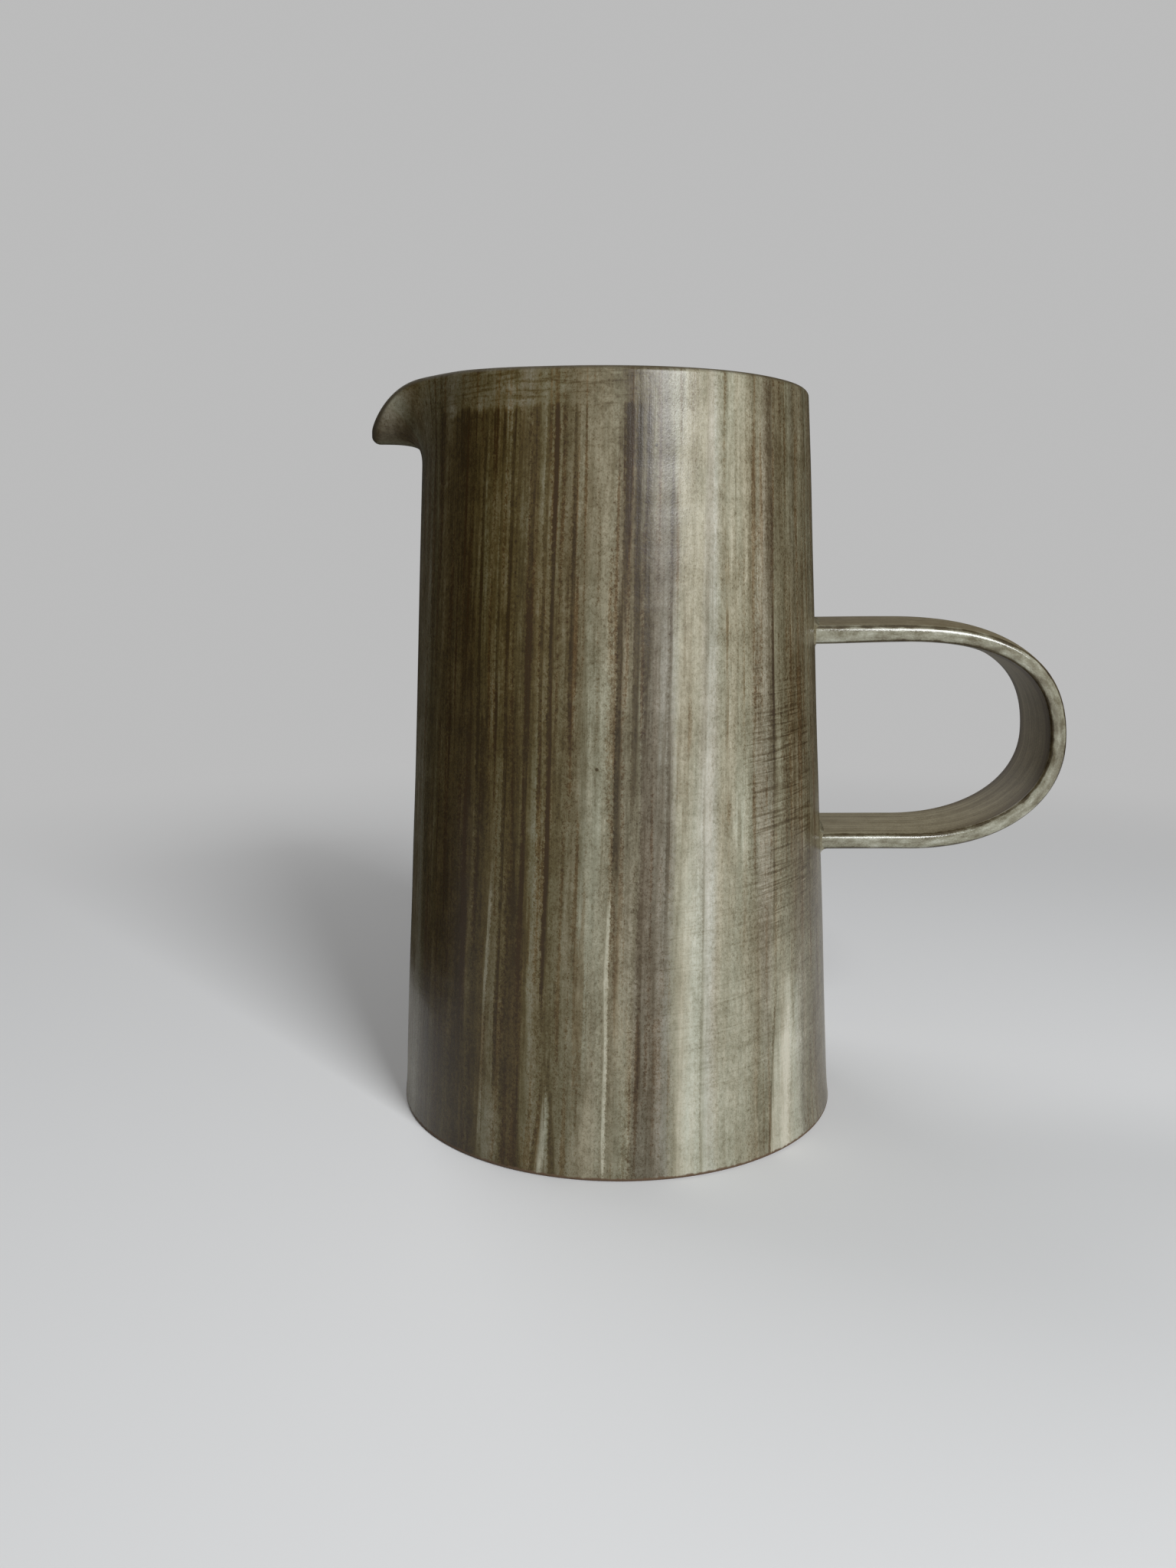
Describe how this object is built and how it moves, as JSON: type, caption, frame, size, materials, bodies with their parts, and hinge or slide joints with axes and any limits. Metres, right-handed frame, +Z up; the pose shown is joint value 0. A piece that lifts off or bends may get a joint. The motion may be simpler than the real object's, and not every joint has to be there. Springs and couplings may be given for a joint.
{
  "type": "jug",
  "caption": "Tapered hand-built stoneware jug with a beak spout at the rim and a strap handle, brushed in a streaky olive-brown glaze, for serving and pouring drinks.",
  "frame": {"origin": "centre of the foot, on the plane that the jug stands on", "axes": "+Z up along the jug's axis, +X out through the handle, -X out through the spout, -Y to the side that faces the viewer"},
  "size_m": [0.1944, 0.1266, 0.2028],
  "materials": {
    "body_glaze": "satin brushed glaze",
    "base_clay": "bare fired clay",
    "inside_glaze": "satin glaze",
    "spout_glaze": "satin brushed glaze",
    "handle_glaze": "satin brushed glaze",
    "collar_glaze": "satin glaze"
  },
  "bodies": {
    "root": {"body_wall": "body_glaze", "base_disc": "base_clay", "floor_coil": "inside_glaze", "pouring_spout": "spout_glaze", "handle_strap": "handle_glaze", "upper_handle_collar": "collar_glaze", "lower_handle_collar": "collar_glaze"}
  },
  "joints": []
}
